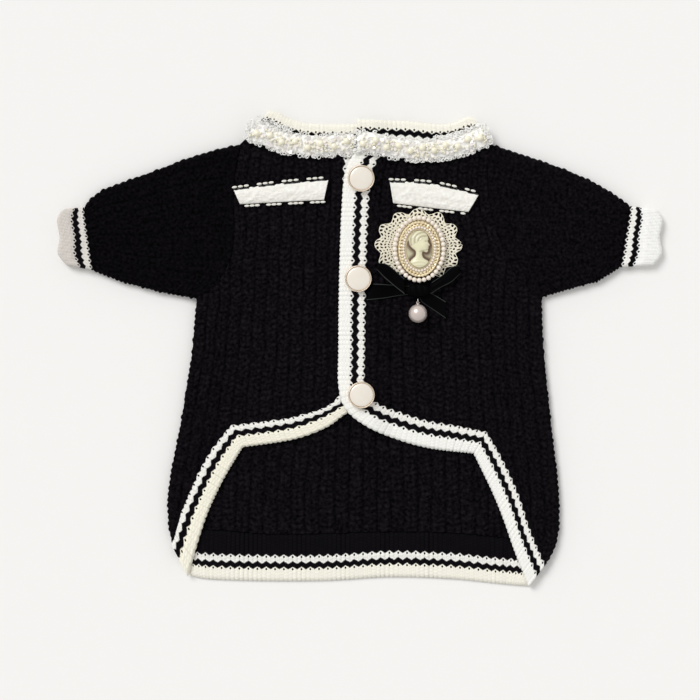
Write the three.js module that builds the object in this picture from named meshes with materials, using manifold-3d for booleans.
// A small dog's knitted cardigan lying flat, belly side up: a back panel, two front panels that cross
// under three shank buttons, short sleeves, striped bands on every edge, a pearl braid round the neck,
// two pocket welts and a brooch of lace, beads and velvet ribbon with a pearl that swings from its knot.
// Millimetres, +Z up. The cloth rests on z = 0, +Y points to the neck and +X to the viewer's right.
import * as THREE from "three";
import { mergeVertices } from "three/addons/utils/BufferGeometryUtils.js";
import Module from "manifold-3d";

const wasm = await Module();
wasm.setup();
const { lerp, smoothstep } = THREE.MathUtils;

// Driving sizes.
const WALL = 1.8; // knitted wall at the bottom of a groove
const RIB = 1.0; // height of a rib over that wall
const GAP = 0.3; // clearance between two pieces that lie on each other
const SEAM = 0.4; // clearance between two pieces that meet side by side
const LAYER = WALL + RIB + GAP; // rise from one layer of cloth to the next
const ON_PANEL = 2 * LAYER; // underside of what lies on a front panel
const KNEE = 50; // height on the armhole where it turns from underarm to side
const UNDERARM_RIBS = 3;
const LEFT_RIBS = 9;
const RIGHT_RIBS = 11;
const BACK_RIBS = 22;
const SLEEVE_RIBS = 10;
const FOLD_ROUND = 1.3; // rounding of a wall where it turns round the side of the body
const SLEEVE_ROUND = 2.0; // rounding of a sleeve along its two folds
const BUTTON = { radius: 7.4, rim: 1.0, height: 3.6 };
const TRIM_WIDTH = 11.2;
const TRIM_PEARL = 1.95; // radius
const PEARL = 5.15; // radius of the hanging pearl

const COLOUR = {
  knit: 0x1b191f,
  cream: 0xf3efdf,
  trim: 0xf4f1ea,
  pearl: 0xf6efe2,
  gilt: 0xd9b46a,
  bead: 0xe9d2c4,
  lace: 0xf0e7cf,
  amber: 0xd8b061,
  cameo: 0xd9cf9f,
  velvet: 0x0d0c10,
  drop: 0xcdbdb9,
  steel: 0xc9c5bd,
};

// Lines in the plane.

const points = (rows, a, b) => rows.map((row) => new THREE.Vector2(row[a], row[b]));

// Evenly numbered samples of a smooth line through the rows, broken at the corner row if there is one.
function smooth(line, divisions, corner) {
  const parts = corner ? [line.slice(0, corner + 1), line.slice(corner)] : [line];
  return parts.flatMap((part, k) => {
    const found = new THREE.SplineCurve(part).getPoints((part.length - 1) * divisions);
    return k ? found.slice(1) : found;
  });
}

// The line moved sideways, to its left when the distance is positive.
function offset(line, distance) {
  return line.map((p, i) => {
    const before = line[Math.max(i - 1, 0)];
    const after = line[Math.min(i + 1, line.length - 1)];
    const a = p.clone().sub(before).normalize();
    const b = after.clone().sub(p).normalize();
    if (i === 0) a.copy(b);
    if (i === line.length - 1) b.copy(a);
    const normal = new THREE.Vector2(-a.y - b.y, a.x + b.x).normalize();
    const mitre = Math.max(normal.dot(new THREE.Vector2(-a.y, a.x)), 0.4);
    return p.clone().addScaledVector(normal, distance / mitre);
  });
}

// The point at a share of the line's length.
function walk(line) {
  const reach = [0];
  for (let i = 1; i < line.length; i++) reach.push(reach[i - 1] + line[i].distanceTo(line[i - 1]));
  return (t) => {
    const want = t * reach[reach.length - 1];
    let i = 1;
    while (i < line.length - 1 && reach[i] < want) i++;
    const share = (want - reach[i - 1]) / (reach[i] - reach[i - 1]);
    return line[i - 1].clone().lerp(line[i], share);
  };
}

// Where the upright line x = xOf(y) first crosses a line, seen from the line's start.
function meet(line, xOf) {
  const side = (p) => p.x - xOf(p.y);
  for (let i = 1; i < line.length; i++) {
    const a = side(line[i - 1]);
    const b = side(line[i]);
    if (a === b || a * b > 0) continue;
    return line[i - 1].clone().lerp(line[i], a / (a - b));
  }
  const first = line[0];
  const last = line[line.length - 1];
  return (Math.abs(side(first)) < Math.abs(side(last)) ? first : last).clone();
}

// x of a line at a height.
function xAt(line, y) {
  const up = line[0].y < line[line.length - 1].y ? line : [...line].reverse();
  if (y <= up[0].y) return up[0].x;
  for (let i = 1; i < up.length; i++) {
    if (y <= up[i].y) return lerp(up[i - 1].x, up[i].x, (y - up[i - 1].y) / (up[i].y - up[i - 1].y));
  }
  return up[up.length - 1].x;
}

// Patch spanned by four edges: a and c run across it at u = 0 and 1, low and high along it at v = 0 and 1.
function patch(a, c, low, high) {
  return (u, v) => {
    const p = a(v).multiplyScalar(1 - u).addScaledVector(c(v), u);
    p.addScaledVector(low(u).sub(a(0).multiplyScalar(1 - u)).sub(c(0).multiplyScalar(u)), 1 - v);
    p.addScaledVector(high(u).sub(a(1).multiplyScalar(1 - u)).sub(c(1).multiplyScalar(u)), v);
    return p;
  };
}

// How far a rounded edge has fallen at a distance from it.
function drop(distance, radius) {
  if (distance >= radius) return 0;
  return radius - Math.sqrt(Math.max(radius ** 2 - (radius - distance) ** 2, 0));
}

// Closed bodies.

class Body {
  constructor() {
    this.vertices = [];
    this.faces = [];
  }

  vertex(x, y, z) {
    this.vertices.push(x, y, z);
    return this.vertices.length / 3 - 1;
  }

  triangle(a, b, c) {
    this.faces.push(a, b, c);
  }

  quad(a, b, c, d) {
    this.triangle(a, b, c);
    this.triangle(a, c, d);
  }

  // Turns every face round if the body came out inside out.
  closed() {
    const v = (i) => new THREE.Vector3().fromArray(this.vertices, 3 * i);
    let volume = 0;
    for (let i = 0; i < this.faces.length; i += 3) {
      const [a, b, c] = this.faces.slice(i, i + 3).map(v);
      volume += a.dot(b.cross(c));
    }
    if (volume < 0) {
      for (let i = 0; i < this.faces.length; i += 3) {
        [this.faces[i + 1], this.faces[i + 2]] = [this.faces[i + 2], this.faces[i + 1]];
      }
    }
    return this;
  }

  solid() {
    this.closed();
    return new wasm.Manifold(
      new wasm.Mesh({
        numProp: 3,
        vertProperties: new Float32Array(this.vertices),
        triVerts: new Uint32Array(this.faces),
      }),
    );
  }
}

// A closed geometry as a solid that can be joined to another one.
function solidFrom(geometry) {
  const bare = geometry.deleteAttribute("normal").deleteAttribute("uv");
  const merged = mergeVertices(bare, 1e-4);
  return new wasm.Manifold(
    new wasm.Mesh({
      numProp: 3,
      vertProperties: merged.attributes.position.array,
      triVerts: new Uint32Array(merged.index.array),
    }),
  );
}

function fromSolid(solid) {
  const found = solid.getMesh();
  const body = new Body();
  for (let i = 0; i < found.numVert; i++) {
    body.vertex(...found.vertProperties.slice(i * found.numProp, i * found.numProp + 3));
  }
  body.faces = [...found.triVerts];
  return body;
}

// A sheet with a top and an underside over the same plan: columns of points { x, y, top, under }.
// A column may be shorter than its neighbour, and the sheet then ends at the shorter one's last point.
function sheet(columns) {
  const body = new Body();
  const tops = columns.map((column) => column.map((p) => body.vertex(p.x, p.y, p.top)));
  const unders = columns.map((column) => column.map((p) => body.vertex(p.x, p.y, p.under)));
  const edges = new Map();
  const edge = (a, b) => {
    const back = b.join() + "|" + a.join();
    if (!edges.delete(back)) edges.set(a.join() + "|" + b.join(), [a, b]);
  };
  for (let i = 0; i + 1 < columns.length; i++) {
    const rows = Math.min(columns[i].length, columns[i + 1].length);
    for (let j = 0; j + 1 < rows; j++) {
      const cell = [[i, j], [i + 1, j], [i + 1, j + 1], [i, j + 1]];
      body.quad(...cell.map(([c, r]) => tops[c][r]));
      body.quad(...cell.map(([c, r]) => unders[c][r]).reverse());
      cell.forEach((corner, k) => edge(corner, cell[(k + 1) % 4]));
    }
  }
  for (const [a, b] of edges.values()) {
    body.quad(tops[a[0]][a[1]], unders[a[0]][a[1]], unders[b[0]][b[1]], tops[b[0]][b[1]]);
  }
  return body;
}

// A flattened tube: outer and inner rings of points for each station, with open ends closed by a rim.
// A ring's point is { x, y, z, at }, where at runs from 0 to 2 once round it.
function tube(outer, inner) {
  const body = new Body();
  const index = (rings) => rings.map((ring) => ring.map((p) => body.vertex(p.x, p.y, p.z)));
  const skin = (rings, turned) => {
    for (let s = 0; s + 1 < rings.length; s++) {
      const n = rings[s].length;
      for (let k = 0; k < n; k++) {
        const quad = [rings[s][k], rings[s + 1][k], rings[s + 1][(k + 1) % n], rings[s][(k + 1) % n]];
        body.quad(...(turned ? quad.reverse() : quad));
      }
    }
  };
  const rim = (out, outAt, inn, innAt, turned) => {
    let k = 0;
    let j = 0;
    const add = (a, b, c) => (turned ? body.triangle(a, c, b) : body.triangle(a, b, c));
    while (k < out.length || j < inn.length) {
      const nextOut = k < out.length ? (k + 1 < out.length ? outAt[k + 1] : 2) : Infinity;
      const nextIn = j < inn.length ? (j + 1 < inn.length ? innAt[j + 1] : 2) : Infinity;
      const o = out[k % out.length];
      const i = inn[j % inn.length];
      if (nextOut <= nextIn) add(o, out[++k % out.length], i);
      else add(o, inn[++j % inn.length], i);
    }
  };
  const o = index(outer);
  const i = index(inner);
  skin(o, false);
  skin(i, true);
  const ats = (ring) => ring.map((p) => p.at);
  rim(o[0], ats(outer[0]), i[0], ats(inner[0]), false);
  rim(o[o.length - 1], ats(outer[outer.length - 1]), i[i.length - 1], ats(inner[inner.length - 1]), true);
  return body;
}

// Oval loops { a, b, z } stacked into one body: a = b = 0 is a point on the axis.
function turned(loops, x, y, sides) {
  const body = new Body();
  const rows = loops.map(({ a, b, z }) => {
    if (a === 0) return [body.vertex(x, y, z)];
    return Array.from({ length: sides }, (_, k) => {
      const angle = (2 * Math.PI * k) / sides;
      return body.vertex(x + a * Math.cos(angle), y + b * Math.sin(angle), z);
    });
  });
  const hollow = rows[0].length > 1;
  for (let i = 0; i + (hollow ? 0 : 1) < rows.length; i++) {
    const low = rows[i];
    const high = rows[(i + 1) % rows.length];
    for (let k = 0; k < sides; k++) {
      const n = (k + 1) % sides;
      if (low.length === 1) body.triangle(low[0], high[n], high[k]);
      else if (high.length === 1) body.triangle(low[k], low[n], high[0]);
      else body.quad(low[k], low[n], high[n], high[k]);
    }
  }
  return body;
}

// A closed ring of wire or of touching beads: thick(i) is its radius at station i.
function ring(stations, sides, place, thick) {
  const body = new Body();
  const rows = Array.from({ length: stations }, (_, i) => {
    const { centre, out, up } = place((2 * Math.PI * i) / stations);
    return Array.from({ length: sides }, (_, k) => {
      const angle = (2 * Math.PI * k) / sides;
      const p = centre.clone().addScaledVector(out, thick(i) * Math.cos(angle));
      p.addScaledVector(up, thick(i) * Math.sin(angle));
      return body.vertex(p.x, p.y, p.z);
    });
  });
  for (let i = 0; i < stations; i++) {
    const next = rows[(i + 1) % stations];
    for (let k = 0; k < sides; k++) {
      const n = (k + 1) % sides;
      body.quad(rows[i][k], next[k], next[n], rows[i][n]);
    }
  }
  return body;
}

// Places for a ring lying flat round an oval, and for a round ring that stands along y.
const flatOval = (x, y, z, a, b) => (angle) => ({
  centre: new THREE.Vector3(x + a * Math.cos(angle), y + b * Math.sin(angle), z),
  out: new THREE.Vector3(Math.cos(angle) / a, Math.sin(angle) / b, 0).normalize(),
  up: new THREE.Vector3(0, 0, 1),
});
const standing = (x, y, z, radius) => (angle) => {
  const out = new THREE.Vector3(0, Math.cos(angle), Math.sin(angle));
  return {
    centre: new THREE.Vector3(x, y, z).addScaledVector(out, radius),
    out,
    up: new THREE.Vector3(1, 0, 0),
  };
};

const group = new THREE.Group();
group.name = "dog_cardigan";

function add(name, body, colour, roughness = 0.9, metalness = 0) {
  body.closed();
  const geometry = new THREE.BufferGeometry();
  geometry.setAttribute("position", new THREE.Float32BufferAttribute(body.vertices, 3));
  geometry.setIndex(body.faces);
  geometry.computeVertexNormals();
  const material = new THREE.MeshStandardMaterial({ color: colour, roughness, metalness });
  const mesh = new THREE.Mesh(geometry, material);
  mesh.name = name;
  group.add(mesh);
}

// Outline of the flat garment.

// Side folds of the body: height, x of the left fold, x of the right fold.
const FOLDS = [
  [28, -90.4, 100.8],
  [15, -91.7, 101.1],
  [-1, -92.9, 101.8],
  [-18, -95.6, 103.4],
  [-34, -98.2, 105.3],
  [-51, -101.2, 107],
  [-68, -104.7, 109.2],
  [-84, -106.7, 110.4],
  [-100, -106, 110.4],
  [-109, -104, 109],
  [-118, -100.6, 106],
];

// Armhole seams from the underarm up to the neck: x and y on the left, x and y on the right.
const ARMHOLES = [
  [-90.4, 28.2, 100.8, 29],
  [-80, 35.8, 91.1, 35.3],
  [-73.6, 46, 83.8, 45.4],
  [-70.6, 60, 78.2, 60],
  [-70.3, 80, 73.4, 77],
  [-69.6, 98, 71.3, 95],
  [-66.7, 113.5, 71.9, 114],
];

// Left front band: x and y of its free edge, x and y of its seam. It turns a corner at row LEFT_CORNER.
const LEFT_CORNER = 10;
const LEFT_BAND = [
  [6.7, 108.3, -10.4, 108.3],
  [5.8, 99.2, -10.5, 99.2],
  [5.6, 82.5, -10.6, 82.5],
  [4.4, 32.5, -11.1, 32.5],
  [4.4, -0.8, -11.1, -0.8],
  [4.4, -20.3, -11.1, -18.6],
  [1.1, -30.3, -13.1, -26.9],
  [-9.2, -37.5, -20, -32.5],
  [-19.2, -44.4, -30.6, -35.8],
  [-37.2, -50.8, -42.8, -38.6],
  [-65, -55, -72.2, -42.2],
  [-71.4, -65.3, -83.3, -56.4],
  [-78.1, -77.5, -90.6, -69.7],
  [-86.1, -95.8, -98.9, -89.2],
  [-95.6, -126.9, -104.7, -109.2],
];

// Right front band, the same columns.
const RIGHT_CORNER = 10;
const RIGHT_BAND = [
  [-2.8, 108.9, 12.5, 108.9],
  [-8.3, 99.2, 8.1, 96.4],
  [-10.6, 74.2, 5.6, 74.2],
  [-11.9, 32.5, 3.9, 32.5],
  [-12.2, -0.8, 3.3, -0.8],
  [-12.2, -20.3, 3.3, -19.7],
  [-8.3, -33.6, 5.6, -26.9],
  [3.3, -43.3, 14.4, -31.4],
  [20.6, -50.8, 26.1, -35.3],
  [39.4, -55.8, 41.1, -39.6],
  [63.1, -58.6, 70.6, -45.8],
  [72.8, -78.6, 82.2, -65.3],
  [79.4, -94.5, 89.4, -81.4],
  [86.1, -113.6, 96.7, -98.1],
  [93.8, -132.5, 103.8, -119.4],
];

// Hem band of the back: x and y of its free edge, x and y of its seam.
const HEM_BAND = [
  [-94.6, -126.6, -105.4, -101.4],
  [-84, -128.6, -84, -100.8],
  [-52, -129.6, -52, -103.2],
  [-18, -129.4, -18, -103],
  [16, -127.4, 16, -102],
  [50, -128.4, 50, -102.6],
  [78, -131.2, 78, -105],
  [93.6, -132.5, 109, -107.2],
];

// Neckband halves and the back of the neckband: x and y of the free edge, x and y of the seam.
const NECK_LEFT = [
  [-50.6, 132.5, -62.8, 116.9],
  [-45.4, 131.4, -55.4, 115.2],
  [-38.3, 127.6, -43.8, 111.6],
  [-30, 125.4, -32, 110],
  [-19.4, 124.9, -19.4, 109.4],
  [-6, 124.9, -6, 109.4],
  [6.1, 125, 6.1, 109.6],
];
const NECK_RIGHT = [
  [-1.7, 127.4, -1.7, 110.8],
  [14, 126.9, 14, 109.7],
  [27, 126.5, 27, 109.5],
  [42.2, 124.8, 42.2, 110],
  [51.4, 125.4, 54, 111.7],
  [59.4, 128.9, 63, 113.8],
  [63.6, 128.2, 71.1, 115.8],
];
const NECK_BACK = [
  [-50.6, 131.6, -62.8, 116.9],
  [-38.3, 126.6, -43.8, 111.4],
  [-19.4, 124, -19.4, 109.2],
  [6, 124, 6, 109.2],
  [30, 124, 30, 109.2],
  [46, 123.8, 46, 110.2],
  [58, 127.4, 61, 113.2],
  [63.2, 127.2, 71.1, 115.8],
];

const foldAt = (side) => {
  const line = points(FOLDS, side + 1, 0).map((p) => new THREE.Vector2(p.x, p.y));
  return (y) => xAt(line, y);
};
const leftFold = foldAt(0);
const rightFold = foldAt(1);

// An armhole seam: fine steps round the underarm, then straight steps from the knee to the neck.
const LOWER_ROWS = [0.18, 0.5, 1]; // shares of the height from the bottom edge to the knee
const UPPER_ROWS = [1 / 3, 2 / 3, 1]; // shares of the height from the knee to the neck
function armhole(side) {
  const fine = smooth(points(ARMHOLES, 2 * side, 2 * side + 1), 6);
  const top = fine[fine.length - 1];
  const line = fine.filter((p) => p.y < KNEE - 0.5);
  for (const share of [0, ...UPPER_ROWS.slice(0, -1)]) {
    const y = lerp(KNEE, top.y, share);
    line.push(new THREE.Vector2(xAt(fine, y), y));
  }
  line.push(top);
  return line;
}
const leftArmhole = armhole(0);
const rightArmhole = armhole(1);

// The line that parts the underarm from the rest of a panel, running down from the armhole's knee.
const partingAt = (hole, fold, share) => (y) => {
  if (y >= KNEE) return xAt(hole, y);
  return lerp(share * fold(y), xAt(hole, KNEE), smoothstep(y, 20, KNEE));
};
const leftParting = partingAt(leftArmhole, leftFold, 0.8);
const rightParting = partingAt(rightArmhole, rightFold, 0.79);

// The right front crosses over the left one, so it is lifted by a layer there and sinks away beside it.
const lift = (x) => LAYER * (1 - smoothstep(x, 6, 20));
const onLeft = () => LAYER;
const onRight = (x) => LAYER + lift(x);
// Underside of what lies on the front panels, a little above the panel where it slopes.
const overPanel = (x) => ON_PANEL + lift(x - 0.6);

// Knitted panels.

// Columns of a panel: each rib has a groove and two crest lines. A column is { share, crest }.
function ribColumns(ribs) {
  const columns = [];
  for (let i = 0; i <= 3 * ribs; i++) columns.push({ share: i / (3 * ribs), crest: i % 3 ? 1 : 0 });
  return columns;
}

// Columns between a side fold and the parting line, whose tops end on the armhole.
function underarm(fold, parting, hole, bottomLine) {
  const columns = ribColumns(UNDERARM_RIBS).slice(0, -1);
  columns.splice(1, 0, { share: 0.04, crest: 0.3 });
  return columns.map(({ share, crest }) => {
    const xOf = (y) => lerp(fold(y), parting(y), share);
    return {
      xOf,
      crest,
      low: meet(bottomLine, xOf),
      high: share ? meet(hole, xOf) : hole[0].clone(),
      fold: share * Math.abs(fold(0) - parting(0)),
    };
  });
}

// Turns columns { xOf, crest, low, high, fold } into a sheet lying at the height under(x, y).
function panel(columns, under, facingDown) {
  const place = (x, y, column) => {
    const base = under(x, y);
    const round = drop(column.fold ?? Infinity, FOLD_ROUND);
    return {
      x,
      y,
      top: base + WALL + RIB * column.crest - (facingDown ? 0 : round),
      under: base + (facingDown ? round : 0),
    };
  };
  return sheet(
    columns.map((column) => {
      const { xOf, low, high } = column;
      const short = column.fold !== undefined;
      const middle = short ? high.y : KNEE;
      const found = [place(low.x, low.y, column)];
      for (const share of LOWER_ROWS) {
        const y = lerp(low.y, middle, share);
        found.push(short && share === 1 ? place(high.x, high.y, column) : place(xOf(y), y, column));
      }
      if (short) return found;
      for (const share of UPPER_ROWS) {
        const y = lerp(KNEE, high.y, share);
        found.push(share === 1 ? place(high.x, high.y, column) : place(xOf(y), y, column));
      }
      return found;
    }),
  );
}

// Moves the bottom of the nearest column onto the corner of the line below it.
function snap(columns, corner) {
  const nearest = columns.reduce((a, b) => {
    return Math.abs(a.low.x - corner.x) < Math.abs(b.low.x - corner.x) ? a : b;
  });
  nearest.low.copy(corner);
}

const DIVISIONS = 2;
const rails = (rows, corner) => ({
  free: smooth(points(rows, 0, 1), DIVISIONS, corner),
  seam: smooth(points(rows, 2, 3), DIVISIONS, corner),
});
const leftRails = rails(LEFT_BAND, LEFT_CORNER);
const rightRails = rails(RIGHT_BAND, RIGHT_CORNER);
const hemRails = rails(HEM_BAND);
const neckLeft = rails(NECK_LEFT);
const neckRight = rails(NECK_RIGHT);
const neckBack = rails(NECK_BACK);

// A front panel: from its side fold to the seam of its front band.
function front({ fold, parting, hole, seam, corner, neck, ribs, under, start }) {
  const shoulder = hole[hole.length - 1];
  const frontEdge = (y) => xAt(seam.slice(0, start + 1), Math.max(y, seam[start].y));
  const main = ribColumns(ribs).map(({ share, crest }) => {
    const xOf = (y) => lerp(parting(y), frontEdge(y), share);
    const low = share === 1 ? seam[start].clone() : meet(seam.slice(start), xOf);
    return { xOf, crest, low, high: share ? meet(neck, xOf) : shoulder.clone() };
  });
  snap(main, seam[corner]);
  return panel([...underarm(fold, parting, hole, seam.slice(start)), ...main], under, false);
}

const FRONT_START = 5 * DIVISIONS; // station of a band's seam where it leaves the straight front edge
const neckLine = (inner, shoulder) => {
  const line = offset(inner, -SEAM);
  return shoulder.x < 0 ? [shoulder, ...line] : [...line, shoulder];
};
add(
  "front_left",
  front({
    fold: leftFold,
    parting: leftParting,
    hole: leftArmhole,
    seam: offset(leftRails.seam, -SEAM),
    corner: LEFT_CORNER * DIVISIONS,
    neck: neckLine(neckLeft.seam, leftArmhole[leftArmhole.length - 1]),
    ribs: LEFT_RIBS,
    under: onLeft,
    start: FRONT_START,
  }),
  COLOUR.knit,
);
add(
  "front_right",
  front({
    fold: rightFold,
    parting: rightParting,
    hole: rightArmhole,
    seam: offset(rightRails.seam, SEAM),
    corner: RIGHT_CORNER * DIVISIONS,
    neck: neckLine(neckRight.seam, rightArmhole[rightArmhole.length - 1]),
    ribs: RIGHT_RIBS,
    under: onRight,
    start: FRONT_START,
  }),
  COLOUR.knit,
);

// The back panel runs from fold to fold, its underside flat on the table and its ribs on the inside.
{
  const hem = offset(hemRails.seam, SEAM);
  const neck = offset(neckBack.seam, -SEAM);
  const leftTop = leftArmhole[leftArmhole.length - 1];
  const rightTop = rightArmhole[rightArmhole.length - 1];
  const top = [leftTop, ...neck, rightTop];
  const main = ribColumns(BACK_RIBS).map(({ share, crest }) => {
    const xOf = (y) => lerp(leftParting(y), rightParting(y), share);
    const high = share === 0 ? leftTop.clone() : share === 1 ? rightTop.clone() : meet(top, xOf);
    return { xOf, crest, low: meet(hem, xOf), high };
  });
  const left = underarm(leftFold, leftParting, leftArmhole, hem);
  const right = underarm(rightFold, rightParting, rightArmhole, hem).reverse();
  add("back_panel", panel([...left, ...main, ...right], () => 0, true), COLOUR.knit);
}

// Striped bands.

// Section of a band from its free edge to its seam: share of the width, top, underside.
const EDGE_SECTION = [
  [0, 1.1, 0.4],
  [0.1, 2.5, 0],
  [0.4, 2.7, 0],
  [0.5, 1.9, 0],
  [0.65, 1.9, 0],
  [0.78, 2.6, 0],
  [1, 2, 0],
];
const HEM_SECTION = [
  [0, 1.1, 0.4],
  [0.07, 2.5, 0],
  [0.26, 2.7, 0],
  [0.33, 1.9, 0],
  [0.42, 1.9, 0],
  [0.5, 2.6, 0],
  [0.6, 2, 0],
  [1, 1.9, 0],
];
const NECK_SECTION = [
  [0, 1.1, 0.4],
  [0.1, 2.5, 0],
  [0.34, 2.7, 0],
  [0.44, 1.9, 0],
  [0.56, 2.3, 0],
  [1, 2, 0],
];

// A strip between two rails of stations, with a section across it, lying at the height under(x, y).
function strip(free, seam, section, under) {
  return sheet(
    free.map((edge, i) => {
      return section.map(([share, top, low]) => {
        const p = edge.clone().lerp(seam[i], share);
        const base = under(p.x, p.y);
        return { x: p.x, y: p.y, top: base + top, under: base + low };
      });
    }),
  );
}

add("back_hem_band", strip(hemRails.free, hemRails.seam, HEM_SECTION, () => 0), COLOUR.cream);
add("front_left_band", strip(leftRails.free, leftRails.seam, EDGE_SECTION, onLeft), COLOUR.cream);
add("front_right_band", strip(rightRails.free, rightRails.seam, EDGE_SECTION, onRight), COLOUR.cream);
add("neckband_back", strip(neckBack.free, neckBack.seam, NECK_SECTION, () => 0), COLOUR.cream);
add("neckband_front_left", strip(neckLeft.free, neckLeft.seam, NECK_SECTION, onLeft), COLOUR.cream);
add("neckband_front_right", strip(neckRight.free, neckRight.seam, NECK_SECTION, onRight), COLOUR.cream);

// Sleeves and cuffs.

// Upper and lower folds of the sleeves from armhole to cuff: x and y on the left, then on the right.
const SLEEVE_UPPER = [
  [-78.9, 110.8, 90.6, 107.5],
  [-97.8, 105, 103, 103.5],
  [-112.8, 99.2, 116, 98.8],
  [-128.3, 93.6, 128.3, 93.2],
  [-143.3, 88.1, 138.4, 87.6],
  [-150.4, 82.8, 146, 82.3],
];
const SLEEVE_LOWER = [
  [-112.2, 31.9, 113, 32.4],
  [-132.8, 37.5, 132.2, 37.6],
];
// Cuff seams and free edges from the lower fold to the upper: x and y on the left, then on the right.
const CUFF_SEAM = [
  [-148.3, 43.6, 144.4, 45.3],
  [-153.3, 78.6, 150, 79.2],
];
const CUFF_EDGE = [
  [-163.3, 46.4, 163.3, 46.4],
  [-168.1, 53.1, 168.1, 53.1],
  [-166.9, 61.9, 166.9, 61.9],
  [-168.5, 71.6, 168.5, 71.6],
  [-165, 77.5, 165, 77.5],
];

// Rings of a flattened tube over a patch. Each station is { u, raise }, where raise is added to its top.
function flatTube(surface, stations, across, crest, round, insideStations) {
  const outer = stations.map(({ u, raise }) => {
    const width = surface(u, 0).distanceTo(surface(u, 1));
    const fall = (v) => drop(Math.min(v, 1 - v) * width, round);
    const tops = across.map((v, k) => {
      const p = surface(u, v);
      return { x: p.x, y: p.y, z: LAYER + raise + crest(k) - fall(v), at: v };
    });
    const lows = across.map((v) => {
      const p = surface(u, v);
      return { x: p.x, y: p.y, z: fall(v), at: 2 - v };
    });
    return [...tops, ...lows.reverse()];
  });
  const inner = insideStations.map((u) => {
    const width = surface(u, 0).distanceTo(surface(u, 1));
    const inset = (SLEEVE_ROUND + 0.6) / width;
    const inside = across.filter((v, k) => k % 3 === 0).map((v) => lerp(inset, 1 - inset, v));
    const tops = inside.map((v, k) => {
      const p = surface(u, v);
      return { x: p.x, y: p.y, z: k && k < inside.length - 1 ? LAYER : 2.6, at: v };
    });
    const lows = inside.map((v, k) => {
      const p = surface(u, v);
      return { x: p.x, y: p.y, z: k && k < inside.length - 1 ? WALL : 2.2, at: 2 - v };
    });
    return [...tops, ...lows.reverse()];
  });
  return tube(outer, inner);
}

const SLEEVE_STATIONS = [0, 0.2, 0.45, 0.7, 0.9, 1];
const CUFF_STATIONS = [
  { u: 0, raise: 1.9 },
  { u: 0.07, raise: 2.5 },
  { u: 0.26, raise: 2.6 },
  { u: 0.36, raise: 1.9 },
  { u: 0.48, raise: 1.9 },
  { u: 0.58, raise: 2.5 },
  { u: 0.8, raise: 2.7 },
  { u: 0.94, raise: 2.2 },
  { u: 1, raise: 1.2 },
];

function sleeveAndCuff(side, name, hole) {
  const away = (side ? -1 : 1) * (SEAM + 0.15);
  const seam = offset(hole, away);
  const [low, high] = points(CUFF_SEAM, 2 * side, 2 * side + 1);
  const table = (rows) => points(rows, 2 * side, 2 * side + 1);
  const upper = walk([seam[seam.length - 1], ...table(SLEEVE_UPPER), high]);
  const lower = walk([seam[0], ...table(SLEEVE_LOWER), low]);
  const surface = patch(walk(seam), walk([low, high]), lower, upper);
  const across = ribColumns(SLEEVE_RIBS);
  add(
    "sleeve_" + name,
    flatTube(
      surface,
      SLEEVE_STATIONS.map((u) => ({ u, raise: WALL })),
      across.map((column) => column.share),
      (k) => RIB * across[k].crest,
      SLEEVE_ROUND,
      SLEEVE_STATIONS,
    ),
    COLOUR.knit,
  );

  const beyond = new THREE.Vector2(side ? SEAM : -SEAM, 0);
  const start = [low.clone().add(beyond), high.clone().add(beyond)];
  const edge = smooth(table(CUFF_EDGE), 4);
  const cuff = patch(
    walk(start),
    walk(edge),
    walk([start[0], edge[0]]),
    walk([start[1], edge[edge.length - 1]]),
  );
  const round = Array.from({ length: 13 }, (_, k) => k / 12);
  add("cuff_" + name, flatTube(cuff, CUFF_STATIONS, round, () => 0, SLEEVE_ROUND, [0, 1]), COLOUR.cream);
}
sleeveAndCuff(0, "left", leftArmhole);
sleeveAndCuff(1, "right", rightArmhole);

// Pearl braid round the neck.

// Middle line of the braid: x and y, left half and right half.
const TRIM_LEFT = [
  [-60.4, 120.2],
  [-49.4, 115.6],
  [-38.9, 112.8],
  [-24.4, 111.5],
  [-4.8, 112.6],
];
const TRIM_RIGHT = [
  [-1.5, 113.2],
  [6.2, 112.5],
  [18, 110.4],
  [33.3, 109],
  [50, 110.6],
  [60.6, 113.8],
  [69.4, 117.6],
];
const TRIM_SECTION = [
  [0, 0.7, 0],
  [0.2, 1.9, 0],
  [0.5, 2.4, 0],
  [0.8, 1.9, 0],
  [1, 0.7, 0],
];

function braid(rows, pearls, under) {
  const line = smooth(points(rows, 0, 1), 2);
  const edge = (side) => offset(line, (side * TRIM_WIDTH) / 2);
  let solid = strip(edge(1), edge(-1), TRIM_SECTION, under).solid();
  const at = walk(line);
  for (let k = 0; k < pearls; k++) {
    const p = at((k + 0.5) / pearls);
    const y = p.y + (k % 2 ? 1.3 : -1.3);
    const z = under(p.x, y) + 2.4 + 0.7;
    solid = solid.add(solidFrom(new THREE.SphereGeometry(TRIM_PEARL, 8, 6).translate(p.x, y, z)));
  }
  return fromSolid(solid);
}
add("pearl_trim_left", braid(TRIM_LEFT, 7, () => ON_PANEL), COLOUR.trim, 0.7);
add("pearl_trim_right", braid(TRIM_RIGHT, 9, overPanel), COLOUR.trim, 0.7);

// Pocket welts.

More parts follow.
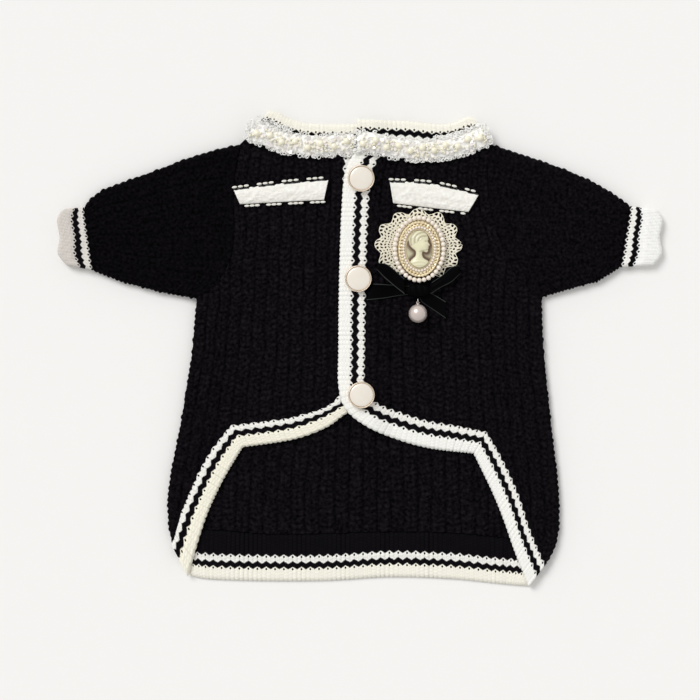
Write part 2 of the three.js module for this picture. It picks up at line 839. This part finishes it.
// Corners of a welt on the chest: x and y of its upper edge, x and y of its lower edge.
const POCKET_LEFT = [
  [-70.4, 88.6, -66.6, 80.1],
  [-44, 91.9, -43, 81.4],
  [-17.4, 94.3, -20, 82.5],
];
const POCKET_RIGHT = [
  [16.4, 93.1, 18.4, 80.7],
  [40.7, 91.7, 40.6, 78],
  [66.2, 85.8, 60.2, 75.8],
];
const WELT_SECTION = [
  [0, 0.9, 0],
  [0.14, 1.9, 0],
  [0.5, 2.1, 0],
  [0.86, 1.9, 0],
  [1, 0.9, 0],
];
function welt(rows, under) {
  return strip(smooth(points(rows, 0, 1), 3), smooth(points(rows, 2, 3), 3), WELT_SECTION, under);
}
add("pocket_left", welt(POCKET_LEFT, () => ON_PANEL), COLOUR.cream);
add("pocket_right", welt(POCKET_RIGHT, overPanel), COLOUR.cream);

// Shank buttons.

// Buttons down the crossed fronts: name, x, y.
const BUTTONS = [
  ["top", 0.7, 94.1],
  ["middle", -0.9, 38.6],
  ["bottom", 0.8, -25.7],
];
const BUTTON_SIDES = 18;
for (const [name, x, y] of BUTTONS) {
  const z = ON_PANEL + 2.7 + GAP;
  const { radius, rim, height } = BUTTON;
  const loop = (r, h) => ({ a: r, b: r, z: z + h });
  const cup = [
    loop(0, 0),
    loop(radius - 1.2, 0),
    loop(radius, 1.2),
    loop(radius, height - 0.9),
    loop(radius - 0.5, height - 0.3),
    loop(radius - rim, height - 0.7),
    loop(radius - rim, 1.4),
    loop(0, 1.4),
  ];
  add("button_rim_" + name, turned(cup, x, y, BUTTON_SIDES), COLOUR.gilt, 0.3, 0.9);
  const inside = radius - rim - GAP;
  const dome = [loop(0, 1.7), loop(inside, 1.7), loop(inside, 2.5), loop(inside * 0.72, 3.2), loop(0, 3.6)];
  add("button_face_" + name, turned(dome, x, y, BUTTON_SIDES), COLOUR.pearl, 0.25);
}

// Brooch.

const BROOCH = { x: 33.4, y: 54.6 };
const BROOCH_Z = ON_PANEL + 1; // top of the lace
const LACE = { x: 32.5, y: 57.3, a: 22.6, b: 18.6, scallops: 12, scallop: 1.8, thick: 1 };

// A lace doily: a round sheet with a scalloped edge that follows the panel under it.
{
  const body = new Body();
  const sides = 3 * LACE.scallops;
  const shares = [0.35, 0.7, 1];
  const pair = (x, y) => [body.vertex(x, y, overPanel(x) + LACE.thick), body.vertex(x, y, overPanel(x))];
  const centre = pair(LACE.x, LACE.y);
  const loops = shares.map((share) => {
    return Array.from({ length: sides }, (_, k) => {
      const angle = (2 * Math.PI * k) / sides;
      const wave = LACE.scallop * (Math.abs(Math.cos((LACE.scallops * angle) / 2)) - 0.4) * 2 * (share === 1);
      const x = LACE.x + (LACE.a * share + wave) * Math.cos(angle);
      const y = LACE.y + (LACE.b * share + wave) * Math.sin(angle);
      return pair(x, y);
    });
  });
  for (let k = 0; k < sides; k++) {
    const n = (k + 1) % sides;
    body.triangle(centre[0], loops[0][k][0], loops[0][n][0]);
    body.triangle(centre[1], loops[0][n][1], loops[0][k][1]);
    for (let i = 0; i + 1 < loops.length; i++) {
      body.quad(loops[i][k][0], loops[i + 1][k][0], loops[i + 1][n][0], loops[i][n][0]);
      body.quad(loops[i][k][1], loops[i][n][1], loops[i + 1][n][1], loops[i + 1][k][1]);
    }
    const rim = loops[loops.length - 1];
    body.quad(rim[k][0], rim[k][1], rim[n][1], rim[n][0]);
  }
  add("brooch_lace", body, COLOUR.lace);
}

// Gilt plate with a raised amber edge, a ring of beads round it, a ring of beads on it and the cameo stone.
const OUTER_BEAD = 1.5;
const INNER_BEAD = 1.1;
const PLATE = { a: 11.4, b: 15.2 };
{
  const { x, y } = BROOCH;
  const z = BROOCH_Z + GAP + 0.2;
  const loop = (inset, h) => ({ a: PLATE.a - inset, b: PLATE.b - inset, z: z + h });
  const plate = [
    { a: 0, b: 0, z },
    loop(0.5, 0),
    loop(0, 0.5),
    loop(0, 2),
    loop(0.5, 2.6),
    loop(1.1, 2.2),
    loop(1.4, 1.4),
    { a: 0, b: 0, z: z + 1.4 },
  ];
  add("brooch_plate", turned(plate, x, y, 30), COLOUR.amber, 0.35, 0.8);

  const beads = (name, count, radius, a, b, height) => {
    const thick = (i) => (i % 2 ? 0.62 : 1) * radius;
    add(name, ring(2 * count, 5, flatOval(x, y, height, a, b), thick), COLOUR.bead, 0.3);
  };
  beads("brooch_beads_outer", 30, OUTER_BEAD, 13.2, 17, z + OUTER_BEAD);
  beads("brooch_beads_inner", 26, INNER_BEAD, 8.5, 12, z + 1.4 + GAP + INNER_BEAD);

  const stone = (a, b, h) => ({ a, b, z: z + 1.4 + GAP + h });
  const cameo = [
    stone(0, 0, 0),
    stone(6.9, 10.3, 0),
    stone(7.1, 10.5, 0.8),
    stone(6.2, 9.5, 1.9),
    stone(4, 6.4, 2.7),
    stone(0, 0, 3.2),
  ];
  add("brooch_cameo", turned(cameo, x, y, 28), COLOUR.cameo, 0.35);
}

// Velvet bow under the brooch.

// Ribbon ends and loops: x and y of the upper edge, x and y of the lower edge, from the knot outwards.
const TAIL_LEFT = [
  [31, 34.6, 31, 30.2],
  [22, 34.9, 22, 29.4],
  [14, 35.6, 13, 27.8],
  [7.4, 35.9, 3.6, 26.8],
];
const TAIL_RIGHT = [
  [33, 34.4, 33, 28.6],
  [38.4, 31.4, 34.6, 25.6],
  [43.2, 28.7, 40.4, 21.6],
  [47.6, 26, 47.6, 16.7],
];
const LOOP_LEFT = [
  [24.6, 38.6, 24.6, 30.2],
  [19.4, 43.2, 19.8, 34],
  [14.6, 46.6, 13.2, 39.6],
  [10.4, 47.2, 9.6, 43.6],
];
const LOOP_RIGHT = [
  [39.8, 36.6, 39.4, 30.4],
  [45.6, 40.6, 44.8, 33.8],
  [50.6, 45, 50.8, 37],
  [54.6, 46, 55.4, 41.4],
];
const RIBBON_SECTION = [
  [0, 0.9, 0],
  [0.12, 1.2, 0],
  [0.88, 1.2, 0],
  [1, 0.9, 0],
];
const LOOP_SECTION = [
  [0, 1.2, 0.5],
  [0.16, 2, 0],
  [0.5, 2.3, 0],
  [0.84, 2, 0],
  [1, 1.2, 0.5],
];
const BOW_Z = ON_PANEL + 1.2 + GAP; // underside of the loops and the knot, over the ribbon's ends
function ribbon(rows, section, under) {
  return strip(smooth(points(rows, 0, 1), 2), smooth(points(rows, 2, 3), 2), section, under);
}
const overBow = (x) => BOW_Z + lift(x - 0.6);
add("bow_tail_left", ribbon(TAIL_LEFT, RIBBON_SECTION, overPanel), COLOUR.velvet);
add("bow_tail_right", ribbon(TAIL_RIGHT, RIBBON_SECTION, overPanel), COLOUR.velvet);
add("bow_loop_left", ribbon(LOOP_LEFT, LOOP_SECTION, overBow), COLOUR.velvet);
add("bow_loop_right", ribbon(LOOP_RIGHT, LOOP_SECTION, overBow), COLOUR.velvet);

const KNOT = { x: 32, y: 32, a: 6.8, b: 3.6, height: 3.6 };
{
  const loop = (share, h) => ({ a: KNOT.a * share, b: KNOT.b * share, z: BOW_Z + h });
  const knot = [loop(0, 0), loop(0.9, 0), loop(1, 0.7), loop(1, 2.2), loop(0.8, 3.2), loop(0, KNOT.height)];
  add("bow_knot", turned(knot, KNOT.x, KNOT.y, 24), COLOUR.velvet);
}

// Jump ring and hanging pearl.

const LINK = { radius: 1.25, wire: 0.28, z: BOW_Z + 1.7 };
const LINK_Y = KNOT.y - KNOT.b - GAP - LINK.radius - LINK.wire;
const PIVOT_Y = LINK_Y - LINK.radius; // the upright wire that the pearl's eye hangs on
const EYE = { hole: 0.56, wire: 0.22 };
add(
  "jump_ring",
  ring(14, 6, standing(KNOT.x, LINK_Y, LINK.z, LINK.radius), () => LINK.wire),
  COLOUR.steel,
  0.25,
  0.95,
);
{
  const middle = EYE.hole + EYE.wire;
  const eye = ring(12, 6, flatOval(KNOT.x, PIVOT_Y, LINK.z, middle, middle), () => EYE.wire).solid();
  const centre = new THREE.Vector3(KNOT.x, PIVOT_Y - 6, ON_PANEL + PEARL);
  const from = new THREE.Vector3(KNOT.x, PIVOT_Y - middle, LINK.z);
  const along = centre.clone().sub(from);
  const middleOfPin = from.clone().lerp(centre, 0.5);
  const upright = new THREE.Vector3(0, 1, 0);
  const turn = new THREE.Quaternion().setFromUnitVectors(upright, along.clone().normalize());
  const pin = new THREE.CylinderGeometry(0.5, 0.4, along.length(), 10)
    .applyQuaternion(turn)
    .translate(...middleOfPin.toArray());
  const pearl = new THREE.SphereGeometry(PEARL, 20, 12).translate(...centre.toArray());
  add("pearl_drop", fromSolid(eye.add(solidFrom(pin)).add(solidFrom(pearl))), COLOUR.drop, 0.2);
}

export default group;
